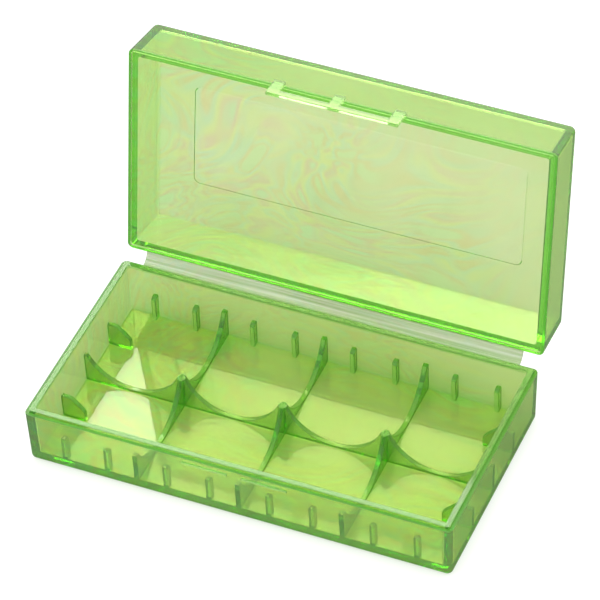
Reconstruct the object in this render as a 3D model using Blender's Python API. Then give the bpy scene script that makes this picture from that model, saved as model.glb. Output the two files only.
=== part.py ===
"""Clear green battery case: a tray with cell cradles and a lid, joined by a thin hinge web.

Units are metres. +X runs along the case, the catch is at the front (-Y), the hinge at the
back (+Y), and +Z is up. The origin is the middle of the tray's underside. The lid stands
open, and it shuts by turning about the hinge axis.
"""

import math

import bmesh
import bpy
from mathutils import Matrix, Vector

# Outer shells
CASE_LENGTH = 0.0760
CASE_DEPTH = 0.0400
TRAY_HEIGHT = 0.0106
LID_HEIGHT = 0.0101
WALL = 0.0015
FLOOR = 0.0013
ROOF = 0.0009
DRAFT = 0.0003
CORNER_RADIUS = 0.0010
EDGE_RADIUS = 0.0009
INNER_EDGE_RADIUS = 0.0003

# Rim: a lip on the tray stands inside a skirt on the lid
LIP_WIDTH = 0.0009
LIP_HEIGHT = 0.0005
RIM_CLEARANCE = 0.00012

# Cells and their cradles
COLUMNS = 4
COLUMN_PITCH = 0.0184
CELL_DIAMETER = 0.0181
ROW_CLEARANCE = 0.0004
CRADLE_LIFT = 0.00035
DIVIDER_THICKNESS = 0.0009
PEAK_DROP = 0.0031
WALL_PEAK_DROP = 0.0037

# End stops for short cells, on the front and back walls
STOP_REACH = 0.0013
STOP_HEIGHT = 0.0049
STOP_ROUND = 0.0012
STOP_THICKNESS = 0.0009
STOP_OFFSET = 0.00385

# Gussets that stop long cells, on the end walls
GUSSET_REACH = 0.0041
GUSSET_HEIGHT = 0.0045
GUSSET_ROUND = 0.0022
GUSSET_THICKNESS = 0.0009

# Snap ridges on the front wall, and the catch frame that drops over them
RIDGE_LENGTH = 0.00805
RIDGE_GAP = 0.0026
RIDGE_DROP = 0.0001
RIDGE_RAMP = 0.0008
RIDGE_UNDERSIDE = 0.0011
RIDGE_PROUD = 0.0005
RIDGE_SINK = 0.0002
WINDOW_SIDE_CLEARANCE = 0.00035
WINDOW_SLACK = 0.0004
CATCH_PROUD = 0.0008
CATCH_END_POST = 0.0020
CATCH_BAR = 0.0012

# Plain panel pressed into the lid's outside
PANEL_LENGTH = 0.0600
PANEL_WIDTH = 0.0194
PANEL_SINK = 0.0002
PANEL_OFFSET = 0.0005
PANEL_RADIUS = 0.0012

# Hinge web
HINGE_REACH = 0.0015
LID_ANGLE = math.radians(99)
WEB_INSET = 0.0033
WEB_THICKNESS = 0.0004
WEB_DROP = 0.00035
WEB_PULL_SHARE = 1.15
WEB_POINTS = 9

# Making
SEAM = 0.0003
OVERRUN = 0.0010
WELD = 0.000001
CORNER_SEGMENTS = 4
EDGE_SEGMENTS = 3
SCALLOP_SEGMENTS = 12
ROUND_SEGMENTS = 4
SMOOTH_ANGLE = math.radians(35)

# Clear plastic: colour, roughness and how much light passes
SHELL_COLOR = (0.36, 0.68, 0.13, 1.0)
DIVIDER_COLOR = (0.20, 0.56, 0.10, 1.0)
WEB_COLOR = (0.72, 0.78, 0.55, 1.0)
GLOSS_ROUGHNESS = 0.12
WEB_ROUGHNESS = 0.30
CLEARNESS = 0.85
PLASTIC_IOR = 1.49

# Places that follow from the sizes
HALF_LENGTH = CASE_LENGTH / 2
HALF_DEPTH = CASE_DEPTH / 2
INNER_LENGTH = CASE_LENGTH - 2 * WALL
INNER_DEPTH = CASE_DEPTH - 2 * WALL
LEDGE = WALL - LIP_WIDTH
TRAY_MOUTH = TRAY_HEIGHT + LIP_HEIGHT + OVERRUN
ROW_PITCH = INNER_DEPTH / 2
COLUMN_RADIUS = CELL_DIAMETER / 2
ROW_RADIUS = (ROW_PITCH - ROW_CLEARANCE) / 2
DIVIDER_BASE = FLOOR + SEAM
PEAK = TRAY_HEIGHT - PEAK_DROP
WALL_PEAK = TRAY_HEIGHT - WALL_PEAK_DROP
HINGE = Vector((0, HALF_DEPTH + HINGE_REACH, TRAY_HEIGHT))
WINDOW_LENGTH = RIDGE_LENGTH + 2 * WINDOW_SIDE_CLEARANCE
RIDGE_CENTRE = (RIDGE_GAP + RIDGE_LENGTH) / 2
RIDGE_TOP = TRAY_HEIGHT - RIDGE_DROP
RIDGE_BASE = RIDGE_TOP - RIDGE_RAMP - RIDGE_UNDERSIDE
CATCH_LENGTH = 2 * (RIDGE_CENTRE + WINDOW_LENGTH / 2 + CATCH_END_POST)

# Turns that stand a flat outline up: thickness along Y, or along X
FACING_FRONT = Matrix.Rotation(math.radians(90), 4, "X")
FACING_END = Matrix.Rotation(math.radians(90), 4, "Z") @ FACING_FRONT


def clear_scene():
    """Remove every object that the scene holds."""
    for old in list(bpy.data.objects):
        bpy.data.objects.remove(old, do_unlink=True)


def new_collection(name):
    """Add a collection to the scene."""
    collection = bpy.data.collections.new(name)
    bpy.context.scene.collection.children.link(collection)
    return collection


def clear_plastic(name, color, roughness):
    """A see-through moulded plastic."""
    material = bpy.data.materials.new(name)
    material.use_nodes = True
    shader = material.node_tree.nodes["Principled BSDF"]
    shader.inputs["Base Color"].default_value = color
    shader.inputs["Roughness"].default_value = roughness
    shader.inputs["Metallic"].default_value = 0
    shader.inputs["Transmission Weight"].default_value = CLEARNESS
    shader.inputs["IOR"].default_value = PLASTIC_IOR
    material.diffuse_color = color
    return material


def object_from(name, bm, collection):
    """Turn a finished bmesh into an object."""
    mesh = bpy.data.meshes.new(name)
    bm.to_mesh(mesh)
    bm.free()
    made = bpy.data.objects.new(name, mesh)
    collection.objects.link(made)
    return made


def tapered_block(name, length, depth, wide_level, narrow_level, inset, corner, edge, collection):
    """A block with round corners that narrows by inset on each side towards one end.

    The narrow end's rim is rounded by edge. Either end may be the upper one.
    """
    bm = bmesh.new()
    bmesh.ops.create_cube(bm, size=1)
    upwards = narrow_level > wide_level
    for vert in bm.verts:
        narrow = (vert.co.z > 0) == upwards
        shrink = inset if narrow else 0
        vert.co.x = math.copysign(length / 2 - shrink, vert.co.x)
        vert.co.y = math.copysign(depth / 2 - shrink, vert.co.y)
        vert.co.z = narrow_level if narrow else wide_level
    upright = [e for e in bm.edges if e.verts[0].co.z != e.verts[1].co.z]
    bmesh.ops.bevel(bm, geom=upright, offset=corner, segments=CORNER_SEGMENTS, profile=0.5,
                    affect="EDGES", clamp_overlap=True)
    if edge > 0:
        rim = [e for e in bm.edges
               if all(abs(v.co.z - narrow_level) < WELD for v in e.verts)]
        bmesh.ops.bevel(bm, geom=rim, offset=edge, segments=EDGE_SEGMENTS, profile=0.5,
                        affect="EDGES", clamp_overlap=True)
    bmesh.ops.recalc_face_normals(bm, faces=bm.faces)
    return object_from(name, bm, collection)


def box(name, low, high, collection):
    """A plain block between two corners."""
    bm = bmesh.new()
    bmesh.ops.create_cube(bm, size=1)
    size = Vector(high) - Vector(low)
    bmesh.ops.scale(bm, vec=size, verts=bm.verts)
    bmesh.ops.translate(bm, vec=Vector(low) + size / 2, verts=bm.verts)
    return object_from(name, bm, collection)


def plate_mesh(outline, thickness):
    """The mesh of a flat closed outline, with its thickness centred on the outline's plane."""
    curve = bpy.data.curves.new("outline", "CURVE")
    curve.dimensions = "2D"
    curve.fill_mode = "BOTH"
    curve.extrude = thickness / 2
    spline = curve.splines.new("POLY")
    spline.points.add(len(outline) - 1)
    for point, (across, up) in zip(spline.points, outline):
        point.co = (across, up, 0, 1)
    spline.use_cyclic_u = True
    flat = bpy.data.objects.new("outline", curve)
    bpy.context.scene.collection.objects.link(flat)
    evaluated = flat.evaluated_get(bpy.context.evaluated_depsgraph_get())
    mesh = bpy.data.meshes.new_from_object(evaluated)
    bpy.data.objects.remove(flat, do_unlink=True)
    bpy.data.curves.remove(curve)
    return mesh


def plates(name, mesh, places, collection):
    """One object that holds a copy of a plate at each place."""
    bm = bmesh.new()
    for place in places:
        known = set(bm.verts)
        bm.from_mesh(mesh)
        added = [v for v in bm.verts if v not in known]
        bmesh.ops.transform(bm, matrix=place, verts=added)
    bmesh.ops.remove_doubles(bm, verts=bm.verts, dist=WELD)
    bmesh.ops.recalc_face_normals(bm, faces=bm.faces)
    return object_from(name, bm, collection)


def combine(target, operand, operation):
    """Cut or join a guide solid into a part."""
    operand.display_type = "WIRE"
    operand.hide_render = True
    modifier = target.modifiers.new(operand.name, "BOOLEAN")
    modifier.operation = operation
    modifier.object = operand
    modifier.solver = "EXACT"


def finish(part, material):
    """Give a part its plastic and smooth its rounds."""
    part.data.materials.append(material)
    part.data.shade_smooth()
    part.data.set_sharp_from_angle(angle=SMOOTH_ANGLE)


def inner_half(size, level):
    """Half of the tray's clear length or depth at a level above its underside."""
    share = (TRAY_MOUTH - level) / (TRAY_MOUTH - FLOOR)
    return size / 2 - DRAFT * share


def scallop(centre, radius, left_room, left_height, right_room, right_height):
    """Points of one cradle arc, from right to left, as (across, up)."""
    middle = FLOOR + CRADLE_LIFT + radius

    def swing(room, height):
        by_height = math.acos(min(max((middle - height) / radius, 0), 1))
        by_room = math.asin(min(room / radius, 1))
        return min(by_height, by_room)

    right = swing(right_room, right_height)
    left = swing(left_room, left_height)
    points = []
    for step in range(SCALLOP_SEGMENTS + 1):
        angle = right - (right + left) * step / SCALLOP_SEGMENTS
        points.append((centre + radius * math.sin(angle), middle - radius * math.cos(angle)))
    return points


def centre_outline():
    """The long divider: four cradles for short cells, with peaks between them."""
    base_half = inner_half(INNER_LENGTH, DIVIDER_BASE) - SEAM
    top_half = inner_half(INNER_LENGTH, WALL_PEAK) - SEAM
    room = (COLUMN_PITCH - DIVIDER_THICKNESS) / 2
    last = COLUMNS - 1
    points = [(-base_half, DIVIDER_BASE), (base_half, DIVIDER_BASE), (top_half, WALL_PEAK)]
    for column in reversed(range(COLUMNS)):
        centre = (column - last / 2) * COLUMN_PITCH
        end_room = top_half - abs(centre) - DIVIDER_THICKNESS / 2
        points += scallop(centre, COLUMN_RADIUS,
                          end_room if column == 0 else room,
                          WALL_PEAK if column == 0 else PEAK,
                          end_room if column == last else room,
                          WALL_PEAK if column == last else PEAK)
    points.append((-top_half, WALL_PEAK))
    return points


def cross_outline():
    """Half of a short divider, from the long divider out to the back wall."""
    near = DIVIDER_THICKNESS / 2 + SEAM
    base_far = inner_half(INNER_DEPTH, DIVIDER_BASE) - SEAM
    top_far = inner_half(INNER_DEPTH, WALL_PEAK) - SEAM
    centre = ROW_PITCH / 2
    arc = scallop(centre, ROW_RADIUS, centre - near, PEAK,
                  top_far - centre - DIVIDER_THICKNESS / 2, WALL_PEAK)
    return ([(near, DIVIDER_BASE), (base_far, DIVIDER_BASE), (top_far, WALL_PEAK)]
            + arc + [(near, arc[-1][1])])


def stop_outline(reach, height, rounding):
    """A rib that stands on the floor, rooted in a wall, with a round upper corner."""
    top = FLOOR + height
    root = -WALL / 2
    points = [(root, FLOOR / 2), (reach, FLOOR / 2)]
    for step in range(ROUND_SEGMENTS + 1):
        angle = math.radians(90) * step / ROUND_SEGMENTS
        points.append((reach - rounding * (1 - math.cos(angle)),
                       top - rounding * (1 - math.sin(angle))))
    points.append((root, top))
    return points


def ridge_outline():
    """A snap ridge's section, rooted in the front wall, as (outwards, up)."""
    root = -WALL / 2
    crest = RIDGE_TOP - RIDGE_RAMP
    return [(root, RIDGE_BASE), (-RIDGE_SINK, RIDGE_BASE), (RIDGE_PROUD, crest),
            (-RIDGE_SINK, RIDGE_TOP), (root, RIDGE_TOP)]


def wall_stops(guides):
    """The ribs that stop short cells: two to a column on the front and back walls."""
    mesh = plate_mesh(stop_outline(STOP_REACH, STOP_HEIGHT, STOP_ROUND), STOP_THICKNESS)
    face = inner_half(INNER_DEPTH, FLOOR)
    places = []
    for column in range(COLUMNS):
        centre = (column - (COLUMNS - 1) / 2) * COLUMN_PITCH
        for side in (-1, 1):
            x = centre + side * STOP_OFFSET
            for turn, y in ((0, -face), (math.radians(180), face)):
                places.append(Matrix.Translation((x, y, 0))
                              @ Matrix.Rotation(turn, 4, "Z") @ FACING_END)
    return plates("wall_stops", mesh, places, guides)


def end_gussets(guides):
    """The longer ribs that stop long cells: one to a row on each end wall."""
    mesh = plate_mesh(stop_outline(GUSSET_REACH, GUSSET_HEIGHT, GUSSET_ROUND), GUSSET_THICKNESS)
    face = inner_half(INNER_LENGTH, FLOOR)
    places = []
    for y in (-ROW_PITCH / 2, ROW_PITCH / 2):
        for turn, x in ((0, -face), (math.radians(180), face)):
            places.append(Matrix.Translation((x, y, 0))
                          @ Matrix.Rotation(turn, 4, "Z") @ FACING_FRONT)
    return plates("end_gussets", mesh, places, guides)


def snap_ridges(guides):
    """The two ridges on the front wall that the catch frame snaps over."""
    mesh = plate_mesh(ridge_outline(), RIDGE_LENGTH)
    outwards = Matrix.Rotation(math.radians(180), 4, "Z") @ FACING_END
    places = [Matrix.Translation((side * RIDGE_CENTRE, -HALF_DEPTH, 0)) @ outwards
              for side in (-1, 1)]
    return plates("snap_ridges", mesh, places, guides)


def tray_shell(parts, guides, material):
    """Floor, walls and rim lip, with the cell stops and snap ridges moulded on."""
    shell = tapered_block("tray_shell", CASE_LENGTH, CASE_DEPTH, TRAY_HEIGHT, 0, DRAFT,
                          CORNER_RADIUS, EDGE_RADIUS, parts)
    lip = tapered_block("tray_lip", CASE_LENGTH - 2 * LEDGE, CASE_DEPTH - 2 * LEDGE,
                        TRAY_HEIGHT + LIP_HEIGHT, FLOOR, DRAFT, CORNER_RADIUS - LEDGE, 0, guides)
    cavity = tapered_block("tray_cavity", INNER_LENGTH, INNER_DEPTH, TRAY_MOUTH, FLOOR, DRAFT,
                           CORNER_RADIUS - LEDGE, INNER_EDGE_RADIUS, guides)
    combine(shell, lip, "UNION")
    combine(shell, cavity, "DIFFERENCE")
    combine(shell, wall_stops(guides), "UNION")
    combine(shell, end_gussets(guides), "UNION")
    combine(shell, snap_ridges(guides), "UNION")
    finish(shell, material)


def dividers(parts, material):
    """The long divider and the six half dividers that meet it."""
    centre = plates("centre_divider", plate_mesh(centre_outline(), DIVIDER_THICKNESS),
                    [FACING_FRONT], parts)
    finish(centre, material)
    cross_mesh = plate_mesh(cross_outline(), DIVIDER_THICKNESS)
    names = ("left", "middle", "right")
    for index, side in enumerate(names):
        x = (index - 1) * COLUMN_PITCH
        for row, turn in (("rear", 0), ("front", math.radians(180))):
            place = (Matrix.Translation((x, 0, 0))
                     @ Matrix.Rotation(turn, 4, "Z") @ FACING_END)
            cross = plates(f"cross_divider_{side}_{row}", cross_mesh, [place], parts)
            finish(cross, material)


def lid_shell(parts, guides, material):
    """The lid as it lies when shut: roof, walls, rim recess and the panel outside."""
    rim = TRAY_HEIGHT + RIM_CLEARANCE
    top = TRAY_HEIGHT + LID_HEIGHT
    shell = tapered_block("lid_shell", CASE_LENGTH, CASE_DEPTH, rim, top, DRAFT,
                          CORNER_RADIUS, EDGE_RADIUS, parts)
    cavity = tapered_block("lid_cavity", INNER_LENGTH, INNER_DEPTH, rim - OVERRUN, top - ROOF,
                           DRAFT, CORNER_RADIUS - LEDGE, INNER_EDGE_RADIUS, guides)
    skirt = 2 * (LEDGE - RIM_CLEARANCE)
    recess = tapered_block("lid_recess", CASE_LENGTH - skirt, CASE_DEPTH - skirt,
                           TRAY_HEIGHT - OVERRUN, TRAY_HEIGHT + LIP_HEIGHT + RIM_CLEARANCE, 0,
                           CORNER_RADIUS - LEDGE, 0, guides)
    panel = tapered_block("lid_panel", PANEL_LENGTH, PANEL_WIDTH, top - PANEL_SINK,
                          top + OVERRUN, 0, PANEL_RADIUS, 0, guides)
    panel.data.transform(Matrix.Translation((0, PANEL_OFFSET, 0)))
    combine(shell, cavity, "DIFFERENCE")
    combine(shell, recess, "DIFFERENCE")
    combine(shell, panel, "DIFFERENCE")
    finish(shell, material)
    return [shell, cavity, recess, panel]


def catch_frame(parts, guides, material):
    """A bar that hangs past the lid's rim on three posts, with an opening for each ridge."""
    front = -HALF_DEPTH - CATCH_PROUD
    back = -HALF_DEPTH - SEAM
    rim = TRAY_HEIGHT + RIM_CLEARANCE
    window_base = RIDGE_BASE - WINDOW_SLACK
    frame = box("catch_frame",
                (-CATCH_LENGTH / 2, front, window_base - CATCH_BAR),
                (CATCH_LENGTH / 2, back, rim), parts)
    moved = [frame]
    for side, label in ((-1, "left"), (1, "right")):
        middle = side * RIDGE_CENTRE
        window = box(f"catch_window_{label}",
                     (middle - WINDOW_LENGTH / 2, front - OVERRUN, window_base),
                     (middle + WINDOW_LENGTH / 2, back + OVERRUN, rim + OVERRUN), guides)
        combine(frame, window, "DIFFERENCE")
        moved.append(window)
    finish(frame, material)
    return moved


def open_lid(moved, parts):
    """Hang the shut lid's objects on the hinge axis and turn them open."""
    pivot = bpy.data.objects.new("lid_pivot", None)
    pivot.location = HINGE
    pivot.rotation_euler.x = -LID_ANGLE
    parts.objects.link(pivot)
    for item in moved:
        item.data.transform(Matrix.Translation(-HINGE))
        item.parent = pivot


def web_outline():
    """The web's section as (back, up): out of the tray's back wall and up to the open lid."""
    opened = Matrix.Rotation(-LID_ANGLE, 3, "X")
    tray_end = Vector((0, HALF_DEPTH + SEAM, TRAY_HEIGHT - WEB_DROP))
    shut_end = Vector((0, HALF_DEPTH + SEAM, TRAY_HEIGHT + WEB_DROP))
    lid_end = HINGE + opened @ (shut_end - HINGE)
    pull = (lid_end - tray_end).length * WEB_PULL_SHARE
    leave = Vector((0, 1, 0)) * pull
    arrive = (opened @ Vector((0, -1, 0))) * pull
    upper = []
    lower = []
    for step in range(WEB_POINTS):
        t = step / (WEB_POINTS - 1)
        centre = ((2 * t**3 - 3 * t**2 + 1) * tray_end + (t**3 - 2 * t**2 + t) * leave
                  + (3 * t**2 - 2 * t**3) * lid_end + (t**3 - t**2) * arrive)
        along = ((6 * t**2 - 6 * t) * (tray_end - lid_end) + (3 * t**2 - 4 * t + 1) * leave
                 + (3 * t**2 - 2 * t) * arrive).normalized()
        across = Vector((0, -along.z, along.y)) * WEB_THICKNESS / 2
        upper.append(centre + across)
        lower.append(centre - across)
    return [(point.y, point.z) for point in lower + upper[::-1]]


def hinge_web(parts, material):
    """The thin flexible strip that joins the two shells along their back edges."""
    length = CASE_LENGTH - 2 * WEB_INSET
    web = plates("hinge_web", plate_mesh(web_outline(), length), [FACING_END], parts)
    finish(web, material)


def build():
    """Make the whole case, with the lid standing open."""
    clear_scene()
    parts = new_collection("battery_storage_case")
    guides = new_collection("guides")
    shell = clear_plastic("green_clear_shell", SHELL_COLOR, GLOSS_ROUGHNESS)
    ribs = clear_plastic("green_clear_dividers", DIVIDER_COLOR, GLOSS_ROUGHNESS)
    thin = clear_plastic("thin_clear_web", WEB_COLOR, WEB_ROUGHNESS)
    tray_shell(parts, guides, shell)
    dividers(parts, ribs)
    moved = lid_shell(parts, guides, shell) + catch_frame(parts, guides, shell)
    open_lid(moved, parts)
    hinge_web(parts, thin)


build()
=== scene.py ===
"""The looks of a clear green battery case: a tray with cell cradles and a lid on a thin web.

Units are metres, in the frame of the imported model: +X runs along the case, the catch is at the
front (-Y), the hinge at the back (+Y), and +Z is up. The lid is modelled shut and turned open.
"""

import logging
import math
from contextlib import contextmanager
from dataclasses import dataclass, field, replace
from enum import Enum
from typing import Any, Callable, Iterator

import bmesh
import bpy
from mathutils import Matrix, Vector


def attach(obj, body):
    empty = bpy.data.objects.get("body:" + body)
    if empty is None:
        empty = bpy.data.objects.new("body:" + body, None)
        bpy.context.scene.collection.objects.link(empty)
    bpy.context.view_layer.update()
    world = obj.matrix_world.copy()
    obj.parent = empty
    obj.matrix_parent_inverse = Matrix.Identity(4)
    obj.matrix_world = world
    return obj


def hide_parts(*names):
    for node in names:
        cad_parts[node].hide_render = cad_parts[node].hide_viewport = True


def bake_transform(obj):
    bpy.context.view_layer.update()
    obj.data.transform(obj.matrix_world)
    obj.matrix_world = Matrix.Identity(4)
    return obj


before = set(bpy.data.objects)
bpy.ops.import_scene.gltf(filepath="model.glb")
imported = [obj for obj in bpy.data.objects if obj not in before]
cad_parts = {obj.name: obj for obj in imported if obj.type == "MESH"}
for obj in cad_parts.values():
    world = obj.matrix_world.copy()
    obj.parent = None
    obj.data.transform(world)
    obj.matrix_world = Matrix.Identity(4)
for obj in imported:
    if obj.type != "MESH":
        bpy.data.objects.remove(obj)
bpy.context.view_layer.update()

LOG = logging.getLogger("battery_case")
RIGHT_ANGLE = math.radians(90)
HALF_TURN = math.radians(180)
SMOOTH_ANGLE = math.radians(32)
# An edge whose faces turn by more than this, in radians, is a corner of the catch.
CORNER_TURN = 1.0
# Points closer in height than this lie at one level.
LEVEL_TOLERANCE = 0.00002
# A face looks along an axis where its normal goes that way by more than this share.
FACING = 0.9
X_AXIS, Y_AXIS = 0, 1
WHITE = (1.0, 1.0, 1.0)

Piece = bpy.types.Object
Edge = bmesh.types.BMEdge
Tree = bpy.types.NodeTree
Socket = bpy.types.NodeSocket
Triple = tuple[float, float, float]
Value = Socket | float | Triple


class Body(Enum):
    """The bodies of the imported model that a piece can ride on."""

    TRAY = "tray"
    LID = "lid"


class Join(Enum):
    """What a solid does to the piece that it meets."""

    ADD = "UNION"
    CUT = "DIFFERENCE"


class Pick(Enum):
    """What is selected in edit mode."""

    VERTICES = "VERT"
    EDGES = "EDGE"


class Kind(Enum):
    """What a socket of a node group carries."""

    COLOR = "NodeSocketColor"
    NUMBER = "NodeSocketFloat"
    VECTOR = "NodeSocketVector"


@dataclass(frozen=True)
class Rounding:
    """A rounded edge: how far it reaches and how many faces it takes."""

    reach: float
    faces: int


def activate(piece: Piece) -> None:
    """Select one object alone and make it the active one.

    Args:
        piece: The object.
    """
    bpy.ops.object.select_all(action="DESELECT")
    piece.select_set(True)
    bpy.context.view_layer.objects.active = piece


@contextmanager
def editing(piece: Piece, pick: Pick,
            test: Callable[[Any], bool] | None = None) -> Iterator[None]:
    """Hold a piece in edit mode with some of its vertices or edges selected.

    Args:
        piece: The mesh object to edit.
        pick: What is selected there.
        test: Says whether a vertex or edge is wanted. Without it none is.
    """
    activate(piece)
    bpy.ops.object.mode_set(mode="EDIT")
    bpy.ops.mesh.select_mode(type=pick.value)
    bpy.ops.mesh.select_all(action="DESELECT")
    if test:
        mesh = bmesh.from_edit_mesh(piece.data)
        parts = mesh.verts if pick is Pick.VERTICES else mesh.edges
        for part in [part for part in parts if test(part)]:
            part.select_set(True)
        mesh.select_flush_mode()
        bmesh.update_edit_mesh(piece.data)
    yield
    bpy.ops.object.mode_set(mode="OBJECT")


def round_edges(piece: Piece, rounding: Rounding, test: Callable[[Edge], bool]) -> None:
    """Bevel the edges that pass a test.

    Args:
        piece: The object to work on.
        rounding: How far the bevel reaches and how many faces it takes.
        test: Says whether an edge is wanted.
    """
    with editing(piece, Pick.EDGES, test):
        bpy.ops.mesh.bevel(offset=rounding.reach, segments=rounding.faces, affect="EDGES",
                           clamp_overlap=True)


def at_level(edge: Edge, level: float) -> bool:
    """Whether both ends of an edge lie at one height."""
    return all(abs(vertex.co.z - level) < LEVEL_TOLERANCE for vertex in edge.verts)


def borders_side(edge: Edge, axis: int) -> bool:
    """Whether just one of the faces at an edge looks along an axis."""
    return sum(abs(face.normal[axis]) > FACING for face in edge.link_faces) == 1


def settled(name: str) -> Piece:
    """Name the object that was just added, and put its place into its mesh.

    Args:
        name: The new object's name.

    Returns:
        The new object.
    """
    made = bpy.context.active_object
    made.name = name
    bpy.ops.object.transform_apply(location=True, rotation=True, scale=True)
    return made


def cube(name: str, low: Vector, high: Vector) -> Piece:
    """Add a cube between two corners.

    Args:
        name: The new object's name.
        low: Its lowest corner.
        high: Its highest corner.

    Returns:
        The new object.
    """
    bpy.ops.mesh.primitive_cube_add(size=1, location=(low + high) / 2, scale=high - low)
    return settled(name)


def modify(piece: Piece, kind: str, **settings: Any) -> None:
    """Give a piece a modifier and apply it.

    Args:
        piece: The object to work on.
        kind: The modifier's kind, such as BOOLEAN.
        settings: The modifier's own settings.
    """
    activate(piece)
    modifier = piece.modifiers.new(kind, kind)
    for setting, value in settings.items():
        setattr(modifier, setting, value)
    bpy.ops.object.modifier_apply(modifier=modifier.name)


def combine(target: Piece, operand: Piece, join: Join) -> None:
    """Join a solid to a piece, or cut it out, and remove the solid.

    Args:
        target: The piece.
        operand: The solid.
        join: Whether the solid is added or cut out.
    """
    modify(target, "BOOLEAN", operation=join.value, object=operand, solver="EXACT")
    bpy.data.objects.remove(operand, do_unlink=True)


def place(piece: Piece, matrix: Matrix) -> None:
    """Move a piece and put its place into its mesh.

    Args:
        piece: The object to move.
        matrix: The move.
    """
    activate(piece)
    piece.matrix_world = matrix @ piece.matrix_world
    bpy.ops.object.transform_apply(location=True, rotation=True, scale=True)


def copies(model: Piece, spots: list[Triple]) -> Piece:
    """Put a copy of a model at each spot, as one object, and remove the model.

    Args:
        model: The object to copy, at the origin.
        spots: The X and Y of each copy and its turn about Z.

    Returns:
        The object that holds all the copies.
    """
    made = []
    for x, y, turn in spots:
        twin = model.copy()
        twin.data = model.data.copy()
        bpy.context.scene.collection.objects.link(twin)
        place(twin, Matrix.Translation((x, y, 0)) @ Matrix.Rotation(turn, 4, "Z"))
        made.append(twin)
    bpy.data.objects.remove(model, do_unlink=True)
    activate(made[0])
    for twin in made:
        twin.select_set(True)
    bpy.ops.object.join()
    return made[0]


def smooth(piece: Piece) -> None:
    """Shade the rounds smooth and keep the flat faces flat beside them.

    Args:
        piece: The object to shade.
    """
    activate(piece)
    bpy.ops.object.shade_smooth_by_angle(angle=SMOOTH_ANGLE)
    modify(piece, "WEIGHTED_NORMAL", keep_sharp=True)


def clothe(piece: Piece, material: bpy.types.Material) -> None:
    """Give a piece one material all over, and report its faces and open edges.

    Args:
        piece: The finished piece.
        material: Its material.
    """
    piece.data.materials.clear()
    piece.data.materials.append(material)
    with editing(piece, Pick.EDGES):
        bpy.ops.mesh.select_non_manifold()
        gaps = sum(edge.select for edge in bmesh.from_edit_mesh(piece.data).edges)
    LOG.info("%s: %d faces, %d open edges", piece.name, len(piece.data.polygons), gaps)


@dataclass(frozen=True)
class Shell:
    """A block with round corners that narrows towards one end."""

    length: float
    depth: float
    wide_level: float
    narrow_level: float
    draft: float
    corner: Rounding
    narrow_edge: Rounding | None = None
    wide_edge: Rounding | None = None

    def build(self, name: str) -> Piece:
        """Model the block from a cube.

        Args:
            name: The new object's name.

        Returns:
            The new object.
        """
        half = Vector((self.length / 2, self.depth / 2, 0))
        low, high = sorted((self.wide_level, self.narrow_level))
        block = cube(name, -half + Vector((0, 0, low)), half + Vector((0, 0, high)))
        shrink = (1 - 2 * self.draft / self.length, 1 - 2 * self.draft / self.depth, 1)
        with editing(block, Pick.VERTICES,
                     lambda v: abs(v.co.z - self.narrow_level) < LEVEL_TOLERANCE):
            bpy.ops.transform.resize(value=shrink, center_override=(0, 0, self.narrow_level))
        round_edges(block, self.corner, lambda e: not (at_level(e, low) or at_level(e, high)))
        for level, rounding in ((self.narrow_level, self.narrow_edge),
                                (self.wide_level, self.wide_edge)):
            if rounding:
                round_edges(block, rounding, lambda e: at_level(e, level))
        return block


@dataclass
class CaseSizes:
    """The sizes that tray and lid share.

    Cutters pass what they cut by the overrun, and members reach into what carries them by the
    root.
    """

    length: float = 0.0760
    depth: float = 0.0400
    tray_height: float = 0.0106
    lid_height: float = 0.0101
    wall: float = 0.0015
    floor: float = 0.0013
    roof: float = 0.0009
    draft: float = 0.0003
    corner: Rounding = Rounding(0.0010, 8)
    outer_edge: Rounding = Rounding(0.0009, 6)
    inner_corner: Rounding = Rounding(0.0004, 5)
    inner_edge: Rounding = Rounding(0.0003, 4)
    rim_edge: Rounding = Rounding(0.00008, 2)
    lip_width: float = 0.0009
    lip_height: float = 0.0005
    lip_round: Rounding = Rounding(0.0004, 6)
    rim_clearance: float = 0.00012
    overrun: float = 0.0010
    root: float = 0.0007
    hinge_reach: float = 0.0015
    lid_angle: float = math.radians(99)

    @property
    def front(self) -> float:
        """Where the front wall's outer face is along Y."""
        return -self.depth / 2

    @property
    def ledge(self) -> float:
        """The step outside the tray's lip."""
        return self.wall - self.lip_width

    @property
    def lip_top(self) -> float:
        """The level of the lip's upper face."""
        return self.tray_height + self.lip_height

    @property
    def lid_rim(self) -> float:
        """The level of the shut lid's rim."""
        return self.tray_height + self.rim_clearance

    @property
    def inner_length(self) -> float:
        """The clear length at the mouth."""
        return self.length - 2 * self.wall

    @property
    def inner_depth(self) -> float:
        """The clear depth at the mouth."""
        return self.depth - 2 * self.wall

    @property
    def row_pitch(self) -> float:
        """How far apart the two rows of long cells lie."""
        return self.inner_depth / 2

    @property
    def opening(self) -> Matrix:
        """The turn about the hinge from the shut lid to the open one."""
        hinge = Vector((0, self.depth / 2 + self.hinge_reach, self.tray_height))
        return (Matrix.Translation(hinge) @ Matrix.Rotation(-self.lid_angle, 4, "X")
                @ Matrix.Translation(-hinge))

    def inner_half(self, size: float, level: float) -> float:
        """Half of the tray's clear length or depth at a level.

        Args:
            size: The clear size at the mouth.
            level: A height above the tray's underside.

        Returns:
            The distance from the middle to the wall.
        """
        mouth = self.lip_top + self.overrun
        return size / 2 - self.draft * (mouth - level) / (mouth - self.floor)


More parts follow.
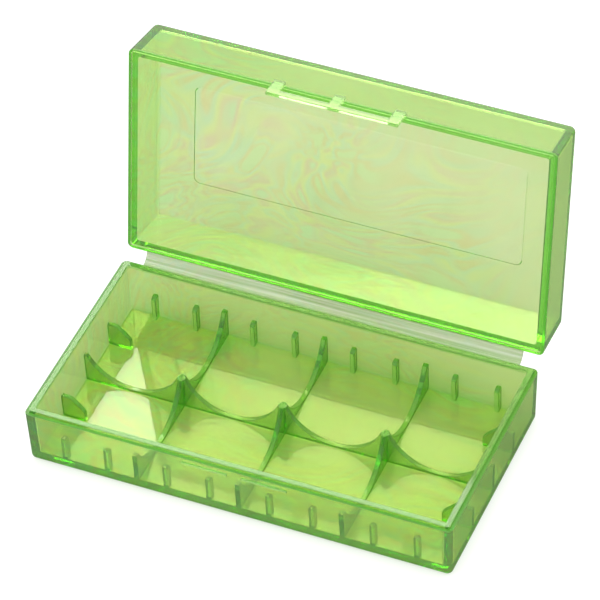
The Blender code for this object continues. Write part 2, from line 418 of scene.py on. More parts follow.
@dataclass
class Rib:
    """A plate that stands on the floor, rooted in a wall, with its upper corner taken off."""

    reach: float
    height: float
    thickness: float
    upper: Rounding
    side: Rounding
    crown: Rounding | None = None

    def build(self, name: str, floor: float, root: float) -> Piece:
        """Model the rib from a cube, growing along +Y out of a wall at y = 0.

        Args:
            name: The new object's name.
            floor: The height of the floor's upper face.
            root: How far it reaches into the floor and the wall.

        Returns:
            The new object.
        """
        half = self.thickness / 2
        top = floor + self.height
        rib = cube(name, Vector((-half, -root, floor - root)), Vector((half, self.reach, top)))

        def is_upper(edge: Edge) -> bool:
            """Whether it is the upper edge away from the wall."""
            return at_level(edge, top) and all(v.co.y > 0 for v in edge.verts)

        def is_crown(edge: Edge) -> bool:
            """Whether it crosses the rib, over the floor and away from the wall."""
            over = all(v.co.y > 0 and v.co.z > floor for v in edge.verts)
            return over and abs(edge.verts[0].co.x - edge.verts[1].co.x) > half

        def is_outline(edge: Edge) -> bool:
            """Whether it borders a side of the rib and shows."""
            shows = any(v.co.y > 0 for v in edge.verts) and any(v.co.z > floor for v in edge.verts)
            return shows and borders_side(edge, X_AXIS)

        round_edges(rib, self.upper, is_upper)
        if self.crown:
            round_edges(rib, self.crown, is_crown)
        round_edges(rib, self.side, is_outline)
        return rib


@dataclass
class Tray:
    """The tray: floor, walls, rim lip, scalloped dividers, stops, gussets and snap ridges."""

    sizes: CaseSizes
    columns: int = 4
    column_pitch: float = 0.0184
    cell_diameter: float = 0.0181
    row_clearance: float = 0.0004
    cradle_lift: float = 0.00035
    divider_thickness: float = 0.0009
    divider_edge: Rounding = Rounding(0.00016, 3)
    peak_drop: float = 0.0031
    wall_peak_drop: float = 0.0037
    scallop_sides: int = 128
    stop: Rib = field(default_factory=lambda: Rib(
        reach=0.0013, height=0.0049, thickness=0.0009, upper=Rounding(0.0011, 8),
        side=Rounding(0.00022, 3)))
    stop_offset: float = 0.00385
    gusset: Rib = field(default_factory=lambda: Rib(
        reach=0.0041, height=0.0045, thickness=0.0009, upper=Rounding(0.0025, 1),
        side=Rounding(0.00018, 3), crown=Rounding(0.0004, 4)))
    ridge_length: float = 0.00805
    ridge_gap: float = 0.0026
    ridge_drop: float = 0.0007
    ridge_underside: float = 0.0013
    ridge_proud: float = 0.0005
    ridge_nose: float = 0.0002
    ridge_edge: Rounding = Rounding(0.00006, 2)

    @property
    def ridge_centre(self) -> float:
        """How far from the middle of the case each ridge has its own."""
        return (self.ridge_gap + self.ridge_length) / 2

    @property
    def ridge_base(self) -> float:
        """The level at which the ridges end below."""
        return self.sizes.tray_height - self.ridge_drop - self.ridge_underside

    def shell(self) -> Piece:
        """Model the floor, walls and rim lip.

        Returns:
            The new object.
        """
        s = self.sizes
        body = Shell(s.length, s.depth, s.tray_height, 0, s.draft, s.corner,
                     s.outer_edge, s.rim_edge).build("tray_moulding")
        lip = Shell(s.length - 2 * s.ledge, s.depth - 2 * s.ledge, s.lip_top, s.floor, s.draft,
                    s.inner_corner).build("lip")
        cavity = Shell(s.inner_length, s.inner_depth, s.lip_top + s.overrun, s.floor, s.draft,
                       s.inner_corner, s.inner_edge).build("cavity")
        combine(body, lip, Join.ADD)
        combine(body, cavity, Join.CUT)
        return body

    def divider(self, name: str, along_x: bool, half: float,
                centres: list[float], radius: float) -> Piece:
        """Model one plate with its cradles cut out and its upper edges rounded.

        Args:
            name: The new object's name.
            along_x: Whether the plate runs along X, or else along Y.
            half: Half of its length, into the walls.
            centres: Where the cradles lie along it.
            radius: Their radius.

        Returns:
            The new object.
        """
        s = self.sizes
        thin = self.divider_thickness / 2
        peak = s.tray_height - self.peak_drop
        wall_peak = s.tray_height - self.wall_peak_drop

        def corner(along: float, across: float, up: float) -> Vector:
            """A point given along, across and up the plate."""
            return Vector((along, across, up) if along_x else (across, along, up))

        def is_upper(edge: Edge) -> bool:
            """Whether it borders a side of the plate and shows over the floor."""
            over = all(v.co.z > s.floor for v in edge.verts)
            return over and borders_side(edge, Y_AXIS if along_x else X_AXIS)

        plate = cube(name, corner(-half, -thin, s.floor - s.root), corner(half, thin, peak))
        middle = s.floor + self.cradle_lift + radius
        for centre in centres:
            bpy.ops.mesh.primitive_cylinder_add(
                vertices=self.scallop_sides, radius=radius, depth=4 * self.divider_thickness,
                location=corner(centre, 0, middle),
                rotation=(RIGHT_ANGLE, 0, 0) if along_x else (0, RIGHT_ANGLE, 0))
            combine(plate, settled("cradle"), Join.CUT)
        for side in (-1, 1):
            low, high = sorted((side * max(centres), side * (half + s.overrun)))
            step = cube("end_step", corner(low, -2 * thin, wall_peak),
                        corner(high, 2 * thin, peak + s.overrun))
            combine(plate, step, Join.CUT)
        round_edges(plate, self.divider_edge, is_upper)
        return plate

    def spread(self, count: int) -> list[float]:
        """Places along X, a column apart and evenly about the middle of the case."""
        return [(index - (count - 1) / 2) * self.column_pitch for index in range(count)]

    def dividers(self) -> list[Piece]:
        """Model the long divider and those that cross it.

        Returns:
            The new objects.
        """
        s = self.sizes
        long_half = s.inner_half(s.inner_length, s.floor) + s.root
        short_half = s.inner_half(s.inner_depth, s.floor) + s.root
        made = [self.divider("long_divider", True, long_half, self.spread(self.columns),
                             self.cell_diameter / 2)]
        for x in self.spread(self.columns - 1):
            cross = self.divider("cross_divider", False, short_half,
                                 [-s.row_pitch / 2, s.row_pitch / 2],
                                 (s.row_pitch - self.row_clearance) / 2)
            place(cross, Matrix.Translation((x, 0, 0)))
            made.append(cross)
        return made

    def stops(self) -> Piece:
        """Model the stops on the front and back walls, two to a column.

        Returns:
            The object that holds them all.
        """
        s = self.sizes
        face = s.inner_half(s.inner_depth, s.floor)
        return copies(self.stop.build("stop", s.floor, s.root),
                      [(centre + side * self.stop_offset, y, turn)
                       for centre in self.spread(self.columns) for side in (-1, 1)
                       for y, turn in ((-face, 0), (face, HALF_TURN))])

    def gussets(self) -> Piece:
        """Model the gussets on the end walls, one to a row.

        Returns:
            The object that holds them all.
        """
        s = self.sizes
        face = s.inner_half(s.inner_length, s.floor)
        return copies(self.gusset.build("gusset", s.floor, s.root),
                      [(x, y, turn) for y in (-s.row_pitch / 2, s.row_pitch / 2)
                       for x, turn in ((-face, -RIGHT_ANGLE), (face, RIGHT_ANGLE))])

    def ridges(self) -> Piece:
        """Model the two snap ridges, flat above and sloped below, on the front wall.

        Returns:
            The object that holds both.
        """
        s = self.sizes
        base = self.ridge_base
        half = self.ridge_length / 2
        ridge = cube("ridge", Vector((-half, s.front - self.ridge_proud, base)),
                     Vector((half, s.front + s.root, s.tray_height - self.ridge_drop)))
        with editing(ridge, Pick.VERTICES,
                     lambda v: v.co.y < s.front and abs(v.co.z - base) < LEVEL_TOLERANCE):
            bpy.ops.transform.translate(value=(0, 0, self.ridge_underside - self.ridge_nose))
        round_edges(ridge, self.ridge_edge, lambda e: all(v.co.y < s.front for v in e.verts))
        return copies(ridge, [(side * self.ridge_centre, 0, 0) for side in (-1, 1)])

    def build(self) -> Piece:
        """Model the whole tray as one moulding.

        Returns:
            The new object.
        """
        tray = self.shell()
        for member in (*self.dividers(), self.stops(), self.gussets(), self.ridges()):
            combine(tray, member, Join.ADD)
        round_edges(tray, self.sizes.lip_round, lambda e: at_level(e, self.sizes.lip_top))
        smooth(tray)
        return tray

    def dress(self, tray: Piece, flow: Tree, zones: Tree) -> None:
        """Give the tray its plastic, and say what it rides on and what it replaces.

        Args:
            tray: The finished tray.
            flow: The node group of its flow marks.
            zones: The node group of its zones.
        """
        clothe(tray, TRAY_PLASTIC.build("green_clear_tray", flow, zones))
        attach(tray, Body.TRAY.value)
        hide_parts("tray_shell", "centre_divider", "cross_divider_left_front",
                    "cross_divider_left_rear", "cross_divider_middle_front",
                    "cross_divider_middle_rear", "cross_divider_right_front",
                    "cross_divider_right_rear")


@dataclass
class Lid:
    """The lid: roof, walls, rim recess, the panel pressed into its outside, and the catch."""

    sizes: CaseSizes
    tray: Tray
    panel_length: float = 0.0600
    panel_width: float = 0.0194
    panel_sink: float = 0.0002
    panel_slope: float = 0.9
    panel_offset: float = 0.0005
    panel_corner: Rounding = Rounding(0.0012, 8)
    catch_proud: float = 0.0008
    catch_back: float = 0.0001
    catch_root: float = 0.0004
    catch_end_post: float = 0.0020
    catch_bar: float = 0.0012
    catch_slack: float = 0.0004
    window_side_clearance: float = 0.00035
    catch_edge: Rounding = Rounding(0.00010, 2)

    def shell(self) -> Piece:
        """Model the roof and walls with their rim recess and the panel.

        Returns:
            The new object.
        """
        s = self.sizes
        top = s.tray_height + s.lid_height
        body = Shell(s.length, s.depth, s.lid_rim, top, s.draft, s.corner, s.outer_edge,
                     s.rim_edge).build("lid_moulding")
        cavity = Shell(s.inner_length, s.inner_depth, s.lid_rim - s.overrun, top - s.roof,
                       s.draft, s.inner_corner, s.inner_edge).build("cavity")
        skirt = 2 * (s.ledge - s.rim_clearance)
        recess = Shell(s.length - skirt, s.depth - skirt, s.tray_height - s.overrun,
                       s.lip_top + s.rim_clearance, 0, s.inner_corner).build("recess")
        panel = Shell(self.panel_length, self.panel_width, top + s.overrun,
                      top - self.panel_sink, 0, self.panel_corner,
                      Rounding(self.panel_sink * self.panel_slope, 1)).build("panel")
        place(panel, Matrix.Translation((0, self.panel_offset, 0)))
        for cutter in (cavity, recess, panel):
            combine(body, cutter, Join.CUT)
        return body

    def catch(self) -> list[Piece]:
        """Model the bar that hangs past the rim on three posts, and their roots.

        Returns:
            The catch, and the blocks that join its posts to the lid's wall.
        """
        s = self.sizes
        centre = self.tray.ridge_centre
        window = self.tray.ridge_length / 2 + self.window_side_clearance
        end = centre + window + self.catch_end_post
        top = s.lid_rim + self.catch_root
        sill = self.tray.ridge_base - self.catch_slack
        front = s.front - self.catch_proud
        back = s.front - self.catch_back
        plate = cube("catch", Vector((-end, front, sill - self.catch_bar)),
                     Vector((end, back, top)))
        for side in (-1, 1):
            opening = cube("opening", Vector((side * centre - window, front - s.overrun, sill)),
                           Vector((side * centre + window, back + s.overrun, top + s.overrun)))
            combine(plate, opening, Join.CUT)
        round_edges(plate, self.catch_edge, lambda e: e.calc_face_angle(0) > CORNER_TURN)
        inset = self.catch_edge.reach
        posts = ((-end, -centre - window), (-centre + window, centre - window),
                 (centre + window, end))
        roots = [cube("root", Vector((low + inset, front + inset, s.lid_rim + inset)),
                      Vector((high - inset, s.front + s.ledge / 2, top - inset)))
                 for low, high in posts]
        return [plate, *roots]

    def build(self) -> Piece:
        """Model the whole lid as one moulding and turn it open.

        Returns:
            The new object.
        """
        lid = self.shell()
        for member in self.catch():
            combine(lid, member, Join.ADD)
        place(lid, self.sizes.opening)
        smooth(lid)
        return lid

    def dress(self, lid: Piece, flow: Tree, zones: Tree) -> None:
        """Give the lid its plastic, and say what it rides on and what it replaces.

        Args:
            lid: The finished lid.
            flow: The node group of its flow marks.
            zones: The node group of its zones.
        """
        clothe(lid, LID_PLASTIC.build("green_clear_lid", flow, zones,
                                      self.sizes.opening.inverted()))
        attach(lid, Body.LID.value)
        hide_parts("lid_shell", "catch_frame")


@dataclass
class Web:
    """The thin flexible strip between the tray's back wall and the lid."""

    sizes: CaseSizes
    inset: float = 0.0036
    thickness: float = 0.0004
    end_edge: Rounding = Rounding(0.00015, 3)
    drop: float = 0.00035
    sink: float = 0.0001
    pull_share: float = 1.15
    steps: int = 24
    stretches: int = 40

    def ends(self) -> tuple[Vector, Vector]:
        """Find the two lines that hold the strip.

        Returns:
            Where it leaves the tray and where it meets the open lid.
        """
        s = self.sizes
        back = s.depth / 2 - self.sink
        tray_end = Vector((0, back, s.tray_height - self.drop))
        lid_end = s.opening @ Vector((0, back, s.tray_height + self.drop))
        return tray_end, lid_end

    def path(self) -> list[Vector]:
        """Draw the strip's section: a cubic curve that starts square to both walls.

        Returns:
            Points from the tray to the open lid.
        """
        tray_end, lid_end = self.ends()
        pull = (lid_end - tray_end).length * self.pull_share
        leave = Vector((0, 1, 0)) * pull
        arrive = (self.sizes.opening.to_3x3() @ Vector((0, -1, 0))) * pull
        points = []
        for step in range(self.steps + 1):
            t = step / self.steps
            points.append((2 * t**3 - 3 * t**2 + 1) * tray_end + (t**3 - 2 * t**2 + t) * leave
                          + (3 * t**2 - 2 * t**3) * lid_end + (t**3 - t**2) * arrive)
        return points

    def build(self) -> Piece:
        """Model the strip by pushing one edge along its section, then give it thickness.

        Returns:
            The new object.
        """
        points = self.path()
        start = points[0].y
        length = self.sizes.length - 2 * self.inset
        bpy.ops.mesh.primitive_grid_add(x_subdivisions=self.stretches, y_subdivisions=1,
                                        size=length, location=points[0])
        web = settled("hinge_strip")
        with editing(web, Pick.VERTICES, lambda v: v.co.y < start):
            bpy.ops.mesh.delete(type="VERT")
        with editing(web, Pick.VERTICES, lambda v: True):
            bpy.ops.transform.resize(value=(1, 0, 1), center_override=points[0])
            for here, there in zip(points, points[1:]):
                bpy.ops.mesh.extrude_region_move(
                    TRANSFORM_OT_translate={"value": there - here})
        modify(web, "SOLIDIFY", thickness=self.thickness, offset=0)

        def is_end(edge: Edge) -> bool:
            """Whether it runs round one of the strip's two ends."""
            outer = all(abs(abs(v.co.x) - length / 2) < LEVEL_TOLERANCE for v in edge.verts)
            return outer and any(abs(face.normal.x) < FACING for face in edge.link_faces)

        round_edges(web, self.end_edge, is_end)
        smooth(web)
        return web

    def dress(self, web: Piece, flow: Tree) -> None:
        """Give the strip its plastic, and say what it replaces.

        Args:
            web: The finished strip.
            flow: The node group of its flow marks.
        """
        clothe(web, WEB_PLASTIC.build("thin_clear_web", flow))
        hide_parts("hinge_web")
        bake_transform(web)


@dataclass(frozen=True)
class Wiring:
    """Adds nodes to the tree of a material or a node group, and links them."""

    tree: Tree

    @classmethod
    def group(cls, name: str, given: dict[str, Kind], put_out: dict[str, Kind]) -> "Wiring":
        """Start a node group.

        Args:
            name: The new group's name.
            given: The kind of each input, by its name.
            put_out: The kind of each output, by its name.

        Returns:
            The wiring of the new group.
        """
        tree = bpy.data.node_groups.new(name, "ShaderNodeTree")
        for side, sockets in (("INPUT", given), ("OUTPUT", put_out)):
            for socket, kind in sockets.items():
                tree.interface.new_socket(name=socket, in_out=side, socket_type=kind.value)
        return cls(tree)

    def fill(self, inputs: Any, values: dict[str | int, Value]) -> None:
        """Link the inputs of a node, or set them.

        Args:
            inputs: The inputs, by name or number.
            values: What each gets: a socket, a number, or red, green and blue.
        """
        for key, value in values.items():
            if isinstance(value, Socket):
                self.tree.links.new(value, inputs[key])
            else:
                inputs[key].default_value = (*value, 1) if inputs[key].type == "RGBA" else value

    def add(self, kind: str, values: dict[str | int, Value] | None = None,
            **settings: Any) -> bpy.types.Node:
        """Add a node.

        Args:
            kind: The node's kind, such as ShaderNodeBump.
            values: What its inputs get, by name or number.
            settings: The node's own settings.

        Returns:
            The new node.
        """
        node = self.tree.nodes.new(kind)
        for setting, value in settings.items():
            setattr(node, setting, value)
        self.fill(node.inputs, values or {})
        return node

    def maths(self, operation: str, *values: Socket | float) -> Socket:
        """Add a sum, such as MULTIPLY, on sockets or plain numbers."""
        return self.add("ShaderNodeMath", dict(enumerate(values)), operation=operation).outputs[0]

    def above(self, value: Socket, level: Socket | float) -> Socket:
        """1 where a value is over a level, or else 0."""
        return self.maths("GREATER_THAN", value, level)

    def below(self, value: Socket, level: float) -> Socket:
        """1 where a value is under a level, or else 0."""
        return self.maths("LESS_THAN", value, level)

    def both(self, first: Socket, second: Socket) -> Socket:
        """What two masks share."""
        return self.maths("MULTIPLY", first, second)

    def either(self, first: Socket, second: Socket) -> Socket:
        """The larger of two masks."""
        return self.maths("MAXIMUM", first, second)

    def total(self, *masks: tuple[Socket, float]) -> Socket:
        """Add up masks.

        Args:
            masks: Each mask with its share.

        Returns:
            The socket with their sum.
        """
        so_far = self.maths("MULTIPLY", *masks[0])
        for mask, share in masks[1:]:
            so_far = self.maths("MULTIPLY_ADD", mask, share, so_far)
        return so_far

    def mix(self, factor: Socket, first: Socket | Triple, second: Socket | Triple,
            blend: str = "MIX") -> Socket:
        """Add a mix of two colours.

        Args:
            factor: How much of the second colour shows.
            first: The first colour.
            second: The second colour.
            blend: How the second colour is laid over the first.

        Returns:
            The socket with the result.
        """
        node = self.add("ShaderNodeMix", {"Factor": factor}, data_type="RGBA", blend_type=blend)
        colors = {entry.name: entry for entry in node.inputs if entry.type == "RGBA"}
        self.fill(colors, {"A": first, "B": second})
        return next(made for made in node.outputs if made.type == "RGBA")


@dataclass(frozen=True)
class ClearPlastic:
    """A clear moulded plastic that darkens with the way that light takes through it.

    The painted shade, a deeper green where light would take a long way through the plastic, and
    the colour of the snap zone show only on a piece that is given its zones.
    """

    tint: Triple
    streak: Triple
    roughness: float
    haze: float
    absorbed: Triple
    density: float
    grain: Triple
    ripple: float
    pastel: float
    transmission: float
    painted_shade: Triple = WHITE
    snap_tone: Triple = WHITE
    gloss: Triple = (0.92, 1.0, 0.65)
    ior: float = 1.49

    def build(self, name: str, flow: Tree, zones: Tree | None = None,
              shut: Matrix = Matrix.Identity(4)) -> bpy.types.Material:
        """Make the material.

        Args:
            name: The new material's name.
            flow: The node group of its flow marks.
            zones: The node group that finds painted shade, the snap zone and satin places.
            shut: The turn from the piece's place to its place on the shut case.

        Returns:
            The new material.
        """
        material = bpy.data.materials.new(name)
        material.use_nodes = True
        nodes = material.node_tree.nodes
        net = Wiring(material.node_tree)
        marks = net.add("ShaderNodeGroup", {
            "Tint": self.tint, "Streak": self.streak, "Grain": self.grain,
            "Roughness": self.roughness, "Haze": self.haze, "Ripple": self.ripple,
            "Pastel": self.pastel}, node_tree=flow).outputs
        color = marks["Color"]
        roughness = marks["Roughness"]
        if zones:
            turned = net.add("ShaderNodeMapping", {
                "Vector": net.add("ShaderNodeTexCoord").outputs["Object"],
                "Location": shut.to_translation(), "Rotation": shut.to_euler()})
            zone = net.add("ShaderNodeGroup", {"Place": turned.outputs["Vector"]},
                           node_tree=zones).outputs
            # Painted shade: a deeper green on ribs, rim and foot, for light's long way through
            # them.
            color = net.mix(zone["PaintedShade"], color, self.painted_shade)
            # Snap zone: a painted highlight on the tray's ridges, a darker green on the lid's
            # catch.
            color = net.mix(zone["SnapTone"], color, self.snap_tone)
            roughness = net.either(roughness, zone["Rough"])
        net.fill(nodes["Principled BSDF"].inputs, {
            "Base Color": color, "Roughness": roughness, "Normal": marks["Normal"],
            "Metallic": 0, "Transmission Weight": self.transmission, "IOR": self.ior,
            "Specular Tint": self.gloss})
        volume = net.add("ShaderNodeVolumeAbsorption", {
            "Color": tuple(1 - share for share in self.absorbed), "Density": self.density})
        # The lamps shine straight through, tinted by each face that their light crosses.
        path = net.add("ShaderNodeLightPath").outputs
        clear = net.add("ShaderNodeBsdfTransparent", {"Color": color})
        surface = net.add("ShaderNodeMixShader", {
            "Fac": net.either(path["Is Shadow Ray"], path["Is Diffuse Ray"]),
            1: nodes["Principled BSDF"].outputs["BSDF"], 2: clear.outputs["BSDF"]})
        net.fill(nodes["Material Output"].inputs, {
            "Surface": surface.outputs["Shader"], "Volume": volume.outputs["Volume"]})
        return material


@dataclass(frozen=True)
class FlowMarks:
    """What the flow of the melt leaves in the plastic: bands of tint, haze, ripple and hues.

    The hues are strongest where X is below hues_full, and weakest where it is above hues_fade.
    """

    swirl_scale: float = 26
    swirl_reach: float = 0.05
    hue_grain: Triple = (45, 330, 260)
    patch_grain: Triple = (45, 45, 45)
    fine_detail: float = 3
    soft_detail: float = 1
    noise_low: float = 0.3
    noise_high: float = 0.7
    hues_fade: float = -0.006
    hues_full: float = -0.022
    hues_least: float = 0.25
    ripple_height: float = 0.0001
    hues: tuple[tuple[float, Triple], ...] = (
        (0.10, (0.84, 1.00, 0.96)), (0.26, (1.00, 0.86, 0.90)), (0.42, (0.98, 1.00, 0.80)),
        (0.58, (0.84, 0.98, 1.00)), (0.74, (1.00, 0.89, 0.80)), (0.90, (0.88, 1.00, 0.90)))

    def bands(self, net: Wiring, where: Socket, grain: Socket | Triple, detail: float) -> Socket:
        """Add noise that is drawn out along the flow.

        Args:
            net: The group's wiring.
            where: The place on the piece.
            grain: How often the noise changes in a metre, along each axis.
            detail: How much finer noise lies over it.

        Returns:
            The socket with the noise, from 0 to 1.
        """
        stretch = net.add("ShaderNodeVectorMath", {0: where, 1: grain}, operation="MULTIPLY")
        noise = net.add("ShaderNodeTexNoise", {"Vector": stretch.outputs[0], "Scale": 1,
                                               "Detail": detail})
        return net.add("ShaderNodeMapRange", {
            "Value": noise.outputs["Fac"], "From Min": self.noise_low,
            "From Max": self.noise_high}).outputs["Result"]

    def rainbow(self, net: Wiring, where: Socket) -> Socket:
        """Add the pastel hues, in bands that swirl.

        Args:
            net: The group's wiring.
            where: The place on the piece.

        Returns:
            The socket with the colour.
        """
        swirl = net.add("ShaderNodeTexNoise", {"Vector": where, "Scale": self.swirl_scale,
                                               "Detail": self.soft_detail})
        drift = net.add("ShaderNodeVectorMath", {
            0: swirl.outputs["Color"], 1: (self.swirl_reach,) * 3, 2: where},
            operation="MULTIPLY_ADD")
        bands = self.bands(net, drift.outputs[0], self.hue_grain, self.soft_detail)
        node = net.add("ShaderNodeValToRGB", {"Fac": bands})
        ramp = node.color_ramp
        ramp.interpolation = "EASE"
        for position, hue in self.hues:
            stop = ramp.elements.new(position)
            stop.color = (*hue, 1)
        for end in (0, -1):
            ramp.elements.remove(ramp.elements[end])
        return node.outputs["Color"]

    def build(self) -> Tree:
        """Build the node group.

        Returns:
            The group, whose outputs are a colour, a roughness and a normal.
        """
        net = Wiring.group(
            "flow_marks",
            {"Tint": Kind.COLOR, "Streak": Kind.COLOR, "Grain": Kind.VECTOR,
             "Roughness": Kind.NUMBER, "Haze": Kind.NUMBER, "Ripple": Kind.NUMBER,
             "Pastel": Kind.NUMBER},
            {"Color": Kind.COLOR, "Roughness": Kind.NUMBER, "Normal": Kind.VECTOR})
        given = net.add("NodeGroupInput").outputs
        where = net.add("ShaderNodeTexCoord").outputs["Object"]
        streaks = self.bands(net, where, given["Grain"], self.fine_detail)
        patches = self.bands(net, where, self.patch_grain, self.soft_detail)
        split = net.add("ShaderNodeSeparateXYZ", {"Vector": where})
        left = net.add("ShaderNodeMapRange", {
            "Value": split.outputs["X"], "From Min": self.hues_fade,
            "From Max": self.hues_full, "To Min": self.hues_least},
            interpolation_type="SMOOTHSTEP")
        amount = net.both(given["Pastel"], net.either(patches, left.outputs["Result"]))
        plain = net.mix(streaks, given["Tint"], given["Streak"])
        bump = net.add("ShaderNodeBump", {"Height": streaks, "Strength": given["Ripple"],
                                          "Distance": self.ripple_height})
        net.add("NodeGroupOutput", {
            "Color": net.mix(amount, plain, self.rainbow(net, where), "MULTIPLY"),
            "Roughness": net.maths("MULTIPLY_ADD", streaks, given["Haze"], given["Roughness"]),
            "Normal": bump.outputs["Normal"]})
        return net.tree


@dataclass(frozen=True)
class MouldingZones:
    """How much painted shade deepens the green of each part of the moulding, and how satin it is.

    The zones reach past the faces that they cover by the skin.
    """

    skin: float = 0.00005
    # Shares of painted shade on ribs, crossings, rim and foot.
    rib_painted_shade: float = 0.6
    crossing_painted_shade: float = 0.4
    rim_painted_shade: float = 0.85
    foot_painted_shade: float = 0.3
    rib_satin: float = 0.12
    rim_satin: float = 0.1
    skirt_satin: float = 0.35
    snap_satin: float = 0.18

    def build(self, sizes: CaseSizes, tray: Tray) -> Tree:
        """Build the node group that finds ribs, rim, foot and snap by place on the shut case.

        Args:
            sizes: The sizes of the case.
            tray: The sizes of the tray's dividers.

        Returns:
            The group, whose outputs are masks.
        """
        net = Wiring.group("moulding_zones", {"Place": Kind.VECTOR},
                           {"PaintedShade": Kind.NUMBER, "SnapTone": Kind.NUMBER, "Rough": Kind.NUMBER})
        given = net.add("NodeGroupInput").outputs
        x, y, up = net.add("ShaderNodeSeparateXYZ", {"Vector": given["Place"]}).outputs
        along = net.maths("ABSOLUTE", x)
        across = net.maths("ABSOLUTE", y)
        skin = self.skin
        floor = sizes.floor
        inside = net.both(net.below(along, sizes.inner_half(sizes.inner_length, floor) - skin),
                          net.below(across, sizes.inner_half(sizes.inner_depth, floor) - skin))
        ribs = net.both(inside, net.both(net.above(up, floor + skin),
                                         net.below(up, sizes.tray_height - skin)))
        to_divider = net.maths("PINGPONG", along, tray.column_pitch / 2)
        crossing = net.both(ribs, net.below(to_divider, tray.divider_thickness / 2 + skin))
        near_rim = net.both(net.above(up, sizes.tray_height - skin),
                            net.below(up, sizes.lip_top + skin))
        skirt = net.both(near_rim,
                         net.either(net.above(along, sizes.length / 2 - sizes.ledge),
                                    net.above(across, sizes.depth / 2 - sizes.ledge)))
        foot = net.both(net.below(up, floor - skin),
                        net.either(net.above(along, sizes.inner_length / 2),
                                   net.above(across, sizes.inner_depth / 2)))
        snap = net.below(y, sizes.front - skin)
        # First output: painted shade on ribs, crossings, rim and foot. Second: the snap zone.
        net.add("NodeGroupOutput", {
            "PaintedShade": net.total((ribs, self.rib_painted_shade), (crossing, self.crossing_painted_shade),
                              (near_rim, self.rim_painted_shade), (foot, self.foot_painted_shade)),
            "SnapTone": snap,
            "Rough": net.total((near_rim, self.rim_satin), (ribs, self.rib_satin),
                               (skirt, self.skirt_satin), (snap, self.snap_satin))})
        return net.tree


# Both plastics paint shade as a darker green on ribs, rim and foot.
TRAY_PLASTIC = ClearPlastic(
    # Redder and lighter than the lid's tint: painted light that brightens the tray.
    tint=(0.96, 0.885, 0.70), streak=(0.90, 0.86, 0.60), painted_shade=(0.40, 0.68, 0.26),
    # The near white is a painted highlight on the snap ridges.
    snap_tone=(1.0, 1.0, 0.95), roughness=0.025, haze=0.03, absorbed=(0.190, 0.034, 0.380),
    density=1000, grain=(30, 60, 60), ripple=0.15, pastel=1.0, transmission=0.86)
LID_PLASTIC = replace(TRAY_PLASTIC, tint=(0.90, 0.885, 0.69), streak=(0.84, 0.86, 0.59),
                      # On the lid the snap zone turns the catch a darker green.
                      snap_tone=(0.76, 0.86, 0.60))
WEB_PLASTIC = ClearPlastic(
    tint=(1.0, 1.0, 0.95), streak=(0.45, 0.60, 0.30), roughness=0.06, haze=0.18,
    absorbed=(0.357, 0.094, 0.942), density=300, grain=(35, 2600, 2600), ripple=1.0,
    pastel=0.4, transmission=0.65, gloss=WHITE)


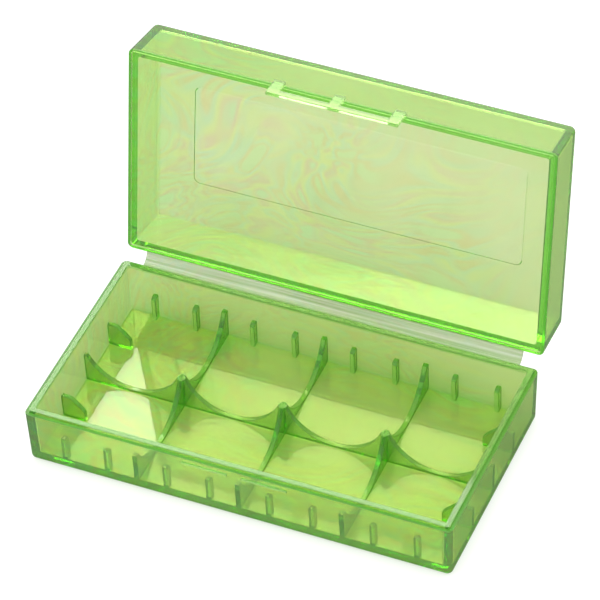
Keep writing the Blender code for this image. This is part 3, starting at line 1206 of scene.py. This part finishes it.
@dataclass
class Studio:
    """A white table, a bright panel behind the case, soft daylight and the camera.

    The table has one shade for the light that it gives back, a darker one painted into mirror
    images of it, and one, lifted by its own glow, for the view. Close to the case the glow falls
    off: a painted contact shadow.
    """

    table_size: float = 3.0
    table_drop: float = 0.00005
    table_color: Triple = (0.78, 0.78, 0.78)
    table_painted_dark_in_gloss: Triple = (0.18, 0.18, 0.18)
    table_in_view: Triple = (0.25, 0.25, 0.25)
    table_lift: float = 0.95
    painted_contact_shadow: float = 0.42
    contact_reach: float = 0.003
    panel_azimuth: float = math.radians(24.7)
    panel_elevation: float = math.radians(42)
    panel_distance: float = 1.0
    panel_width: float = 0.52
    panel_height: float = 0.44
    panel_radiance: float = 6.6
    daylight: float = 1.0
    camera_place: Triple = (0.218274, -0.464404, 0.516690)
    camera_right: Triple = (0.920802, 0.388492, -0.034716)
    camera_down: Triple = (0.244054, -0.643311, -0.725665)
    focal_pixels: float = 4349.0
    image_pixels: float = 600.0
    sensor_width: float = 36.0
    nearest_view: float = 0.01
    bounces: int = 24

    def table(self) -> None:
        """Lay the white table under the case."""
        bpy.ops.mesh.primitive_plane_add(size=self.table_size,
                                         location=(0, 0, -self.table_drop))
        table = bpy.context.active_object
        table.name = "table"
        material = bpy.data.materials.new("white_table")
        material.use_nodes = True
        net = Wiring(material.node_tree)
        path = net.add("ShaderNodeLightPath").outputs
        # The glow dims close to the case by ambient occlusion: a painted contact shadow.
        contact = net.add("ShaderNodeAmbientOcclusion", {"Distance": self.contact_reach})
        glow = net.maths("MULTIPLY_ADD", contact.outputs["AO"], self.painted_contact_shadow,
                         self.table_lift - self.painted_contact_shadow)
        # Mirror images of the table take a darker shade: a painted dark reflection.
        mirrored = net.above(path["Is Glossy Ray"], path["Is Transmission Ray"])
        shade = net.mix(mirrored, self.table_color, self.table_painted_dark_in_gloss)
        net.fill(material.node_tree.nodes["Principled BSDF"].inputs, {
            "Roughness": 1, "Specular IOR Level": 0, "Emission Color": WHITE,
            "Emission Strength": net.both(path["Is Camera Ray"], glow),
            "Base Color": net.mix(path["Is Camera Ray"], shade, self.table_in_view)})
        table.data.materials.append(material)

    def lights(self) -> None:
        """Put the bright panel behind the case and fill the room with soft light."""
        level = math.cos(self.panel_elevation) * self.panel_distance
        spot = Vector((-math.sin(self.panel_azimuth) * level,
                       math.cos(self.panel_azimuth) * level,
                       math.sin(self.panel_elevation) * self.panel_distance))
        lamp = bpy.data.lights.new("back_panel", "AREA")
        lamp.shape = "RECTANGLE"
        lamp.size = self.panel_width
        lamp.size_y = self.panel_height
        lamp.energy = self.panel_radiance * math.pi * self.panel_width * self.panel_height
        holder = bpy.data.objects.new("back_panel", lamp)
        holder.location = spot
        holder.rotation_euler = (-spot).to_track_quat("-Z", "Y").to_euler()
        bpy.context.scene.collection.objects.link(holder)
        world = bpy.data.worlds.new("daylight")
        world.use_nodes = True
        Wiring(world.node_tree).fill(world.node_tree.nodes["Background"].inputs,
                                     {"Color": WHITE, "Strength": self.daylight})
        bpy.context.scene.world = world

    def camera(self) -> None:
        """Set the camera where the photograph was taken from."""
        scene = bpy.context.scene
        right = Vector(self.camera_right)
        up = -Vector(self.camera_down)
        turn = Matrix((right, up, right.cross(up))).transposed().to_4x4()
        lens = bpy.data.cameras.new("camera")
        lens.sensor_width = self.sensor_width
        lens.lens = self.focal_pixels / self.image_pixels * self.sensor_width
        lens.clip_end = self.table_size * 2
        lens.clip_start = self.nearest_view
        holder = bpy.data.objects.new("camera", lens)
        holder.matrix_world = Matrix.Translation(self.camera_place) @ turn
        scene.collection.objects.link(holder)
        scene.camera = holder
        scene.view_settings.view_transform = "Standard"
        scene.cycles.max_bounces = self.bounces
        scene.cycles.transmission_bounces = self.bounces
        scene.cycles.glossy_bounces = self.bounces // 2
        scene.cycles.transparent_max_bounces = self.bounces

    def build(self) -> None:
        """Set up the table, the lights and the camera."""
        self.table()
        self.lights()
        self.camera()


def main() -> None:
    """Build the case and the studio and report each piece."""
    logging.basicConfig(level=logging.INFO, format="%(message)s")
    sizes = CaseSizes()
    tray = Tray(sizes)
    lid = Lid(sizes, tray)
    web = Web(sizes)
    flow = FlowMarks().build()
    zones = MouldingZones().build(sizes, tray)
    tray.dress(tray.build(), flow, zones)
    lid.dress(lid.build(), flow, zones)
    web.dress(web.build(), flow)
    Studio().build()


if __name__ == "__main__":
    main()
